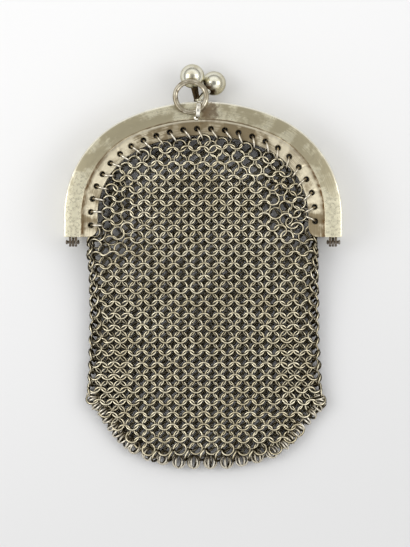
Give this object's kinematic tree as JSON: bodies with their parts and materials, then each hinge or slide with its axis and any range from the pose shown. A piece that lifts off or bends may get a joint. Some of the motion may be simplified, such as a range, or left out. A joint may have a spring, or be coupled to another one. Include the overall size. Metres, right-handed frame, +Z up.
{
  "type": "metal mesh purse",
  "caption": "Small silver coin purse of ring mesh, on an arched hinged frame with a kissing ball clasp and a carrying ring, lying flat.",
  "frame": {"origin": "middle of the purse on the surface that it lies on: the centre of its bounding box's bottom", "axes": "+X to the right seen from the front, +Y from the bag's bottom towards the clasp, +Z up out of the front face"},
  "size_m": [0.07, 0.1022, 0.0141],
  "materials": {
    "frame_silver": "worn old silver, warm grey, scratched, with brown tarnish along the step and round the staple",
    "ball_silver": "polished old silver with brown stains between the balls",
    "mesh_silver": "round silver wire, bright on top and dark with oxide between the rings",
    "pin_steel": "dull dark steel wire"
  },
  "bodies": {
    "root": {"front_frame": "frame_silver", "back_frame": "frame_silver", "left_clasp_ball": "ball_silver", "right_clasp_ball": "ball_silver", "carry_ring": "frame_silver", "left_hinge_pin": "pin_steel", "right_hinge_pin": "pin_steel", "mesh_bag": "mesh_silver"}
  },
  "joints": []
}
